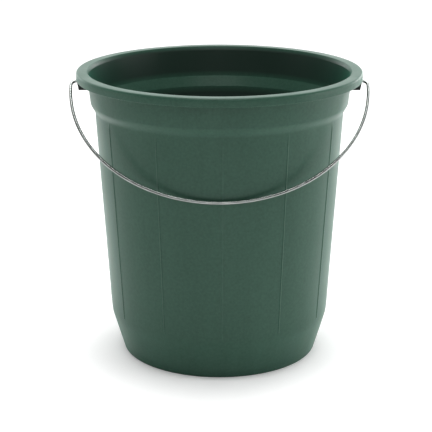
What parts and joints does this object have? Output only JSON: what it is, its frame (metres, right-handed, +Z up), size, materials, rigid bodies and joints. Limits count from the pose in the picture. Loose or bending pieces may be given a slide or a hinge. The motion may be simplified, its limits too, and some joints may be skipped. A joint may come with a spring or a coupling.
{
  "type": "florist bucket",
  "caption": "Round tapered plastic florist bucket with a stepped collar, ribbed wall, flat hollow rim, pivot ears and a swinging wire bail handle.",
  "frame": {"origin": "centre of the round base, on the surface the bucket stands on", "axes": "+Z up through the open mouth; X along the bail's pivot axis, from ear to ear; -Y towards the front, where the bail hangs at rest"},
  "size_m": [0.3074, 0.2924, 0.2982],
  "materials": {
    "green_plastic": "satin moulded polypropylene, dark green",
    "dark_plastic": "satin moulded plastic, near black",
    "galvanised_wire": "bright drawn steel wire with a zinc coat"
  },
  "bodies": {
    "bucket": {"bucket_body": "green_plastic", "ear_left": "dark_plastic", "ear_right": "dark_plastic"},
    "bail": {"bail_wire": "galvanised_wire"}
  },
  "joints": [
    {"name": "bail_swing", "type": "hinge", "parent": "bucket", "child": "bail", "pos_m": [0, 0, 0.2856], "axis": [-1, 0, 0], "range_deg": [0, 253]}
  ]
}
